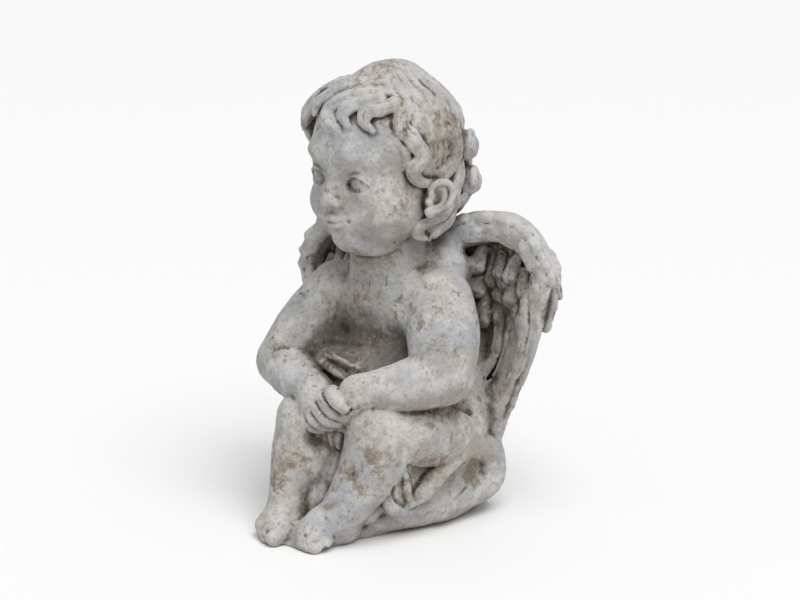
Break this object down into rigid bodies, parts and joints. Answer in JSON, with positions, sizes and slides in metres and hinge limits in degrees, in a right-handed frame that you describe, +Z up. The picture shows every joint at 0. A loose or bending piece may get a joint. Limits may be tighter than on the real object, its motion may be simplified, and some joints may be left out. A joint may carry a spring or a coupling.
{
  "type": "statue",
  "caption": "Seated stone putto with small wings, one hand holding the other wrist over the drawn-up knees, on a rolled cloth base that stands flat.",
  "frame": {"origin": "middle of the flat underside", "axes": "+Z up through the head, the figure faces -Y, its left hand is on the +X side"},
  "size_m": [0.2556, 0.2046, 0.3534],
  "materials": {
    "cast_stone": "weathered cast stone, rough and unpolished, warm grey with brown stains in the hollows"
  },
  "bodies": {
    "root": {"putto_statue": "cast_stone"}
  },
  "joints": []
}
